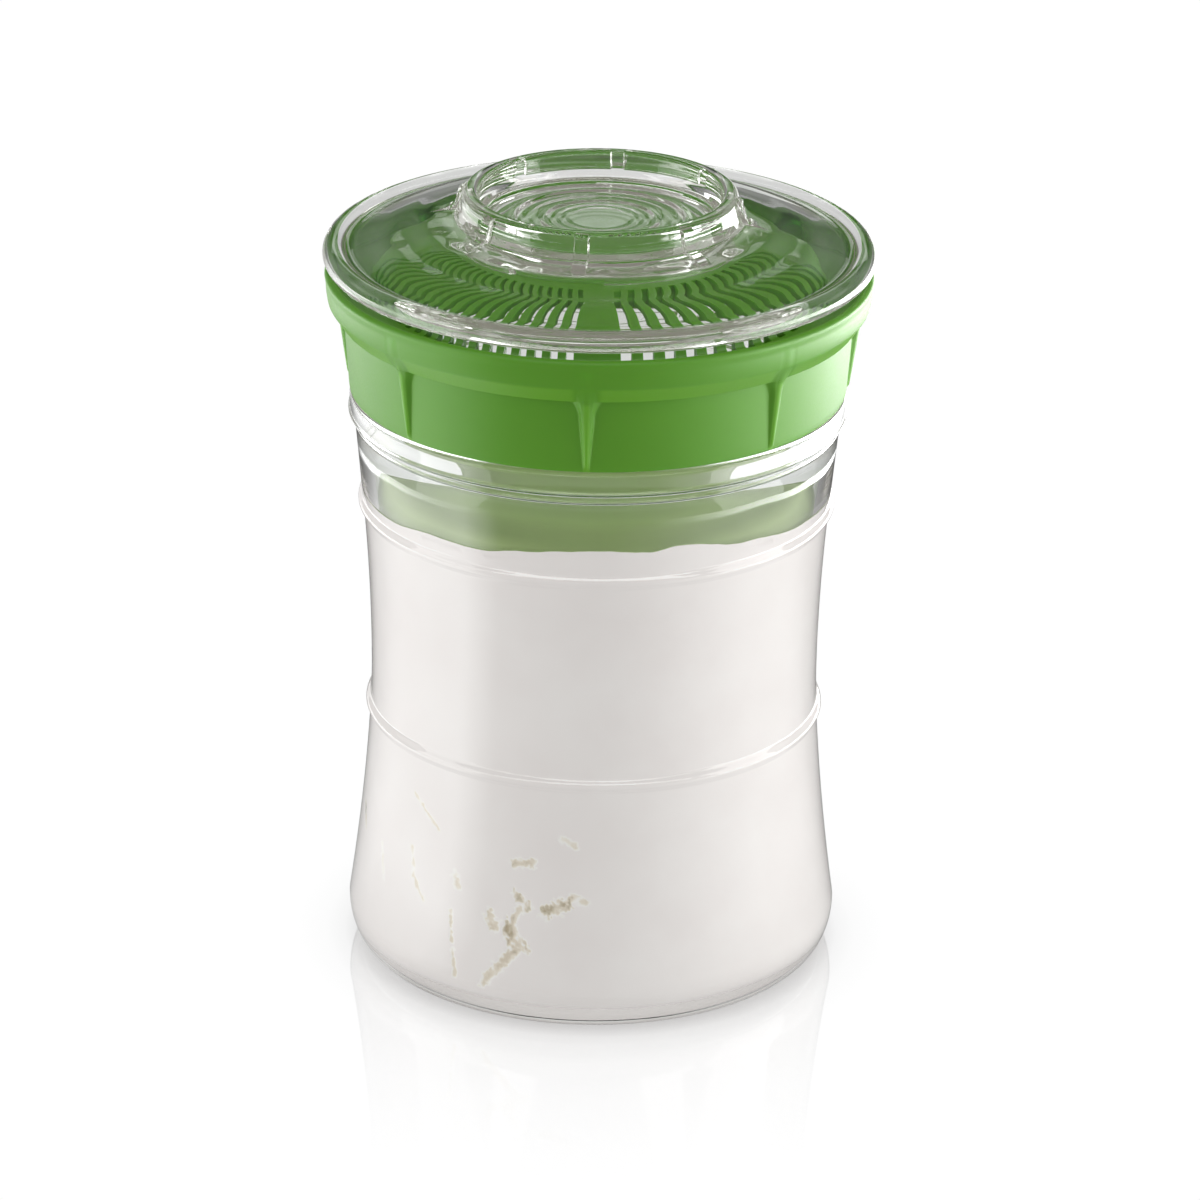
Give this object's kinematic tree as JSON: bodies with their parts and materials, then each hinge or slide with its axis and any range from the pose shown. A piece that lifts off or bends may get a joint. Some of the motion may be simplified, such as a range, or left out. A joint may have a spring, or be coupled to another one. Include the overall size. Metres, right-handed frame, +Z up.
{
  "type": "kefir jar",
  "caption": "Waisted glass fermenting jar with a green screw-on strainer lid, a silicone seal and a clear lift-off cover, filled with kefir",
  "frame": {"origin": "middle of the foot, on the surface the jar stands on", "axes": "+Z up along the jar's axis, front of the jar towards -Y"},
  "size_m": [0.1176, 0.1176, 0.1724],
  "materials": {
    "glass": "clear pressed glass, slightly green in its thick parts",
    "silicone": "milky silicone, matt",
    "green_plastic": "moulded polypropylene, satin",
    "clear_plastic": "clear moulded plastic, polished",
    "milk": "off-white cultured milk",
    "kefir_grain": "creamy lumpy curd"
  },
  "bodies": {
    "jar": {"glass_jar": "glass", "kefir_milk": "milk", "kefir_grain_1": "kefir_grain", "kefir_grain_2": "kefir_grain", "kefir_grain_3": "kefir_grain", "kefir_grain_4": "kefir_grain", "kefir_grain_5": "kefir_grain", "kefir_grain_6": "kefir_grain", "kefir_grain_7": "kefir_grain", "kefir_grain_8": "kefir_grain", "kefir_grain_9": "kefir_grain"},
    "seal": {"lid_seal": "silicone"},
    "lid": {"strainer_lid": "green_plastic"},
    "cover": {"clear_cover": "clear_plastic"}
  },
  "joints": [
    {"name": "lid_rise", "type": "slide", "parent": "jar", "child": "seal", "axis": [0, 0, 1], "range_m": [0, 0.0196]},
    {"name": "lid_turn", "type": "hinge", "parent": "seal", "child": "lid", "pos_m": [0, 0, 0.14], "axis": [0, 0, 1], "range_deg": [0, 1170]},
    {"name": "cover_lift", "type": "slide", "parent": "lid", "child": "cover", "axis": [0, 0, 1], "range_m": [0, 0.06]}
  ],
  "couplings": [
    {"joint": "lid_rise", "follows": "lid_turn", "m_per_rad": 0.00095493}
  ]
}
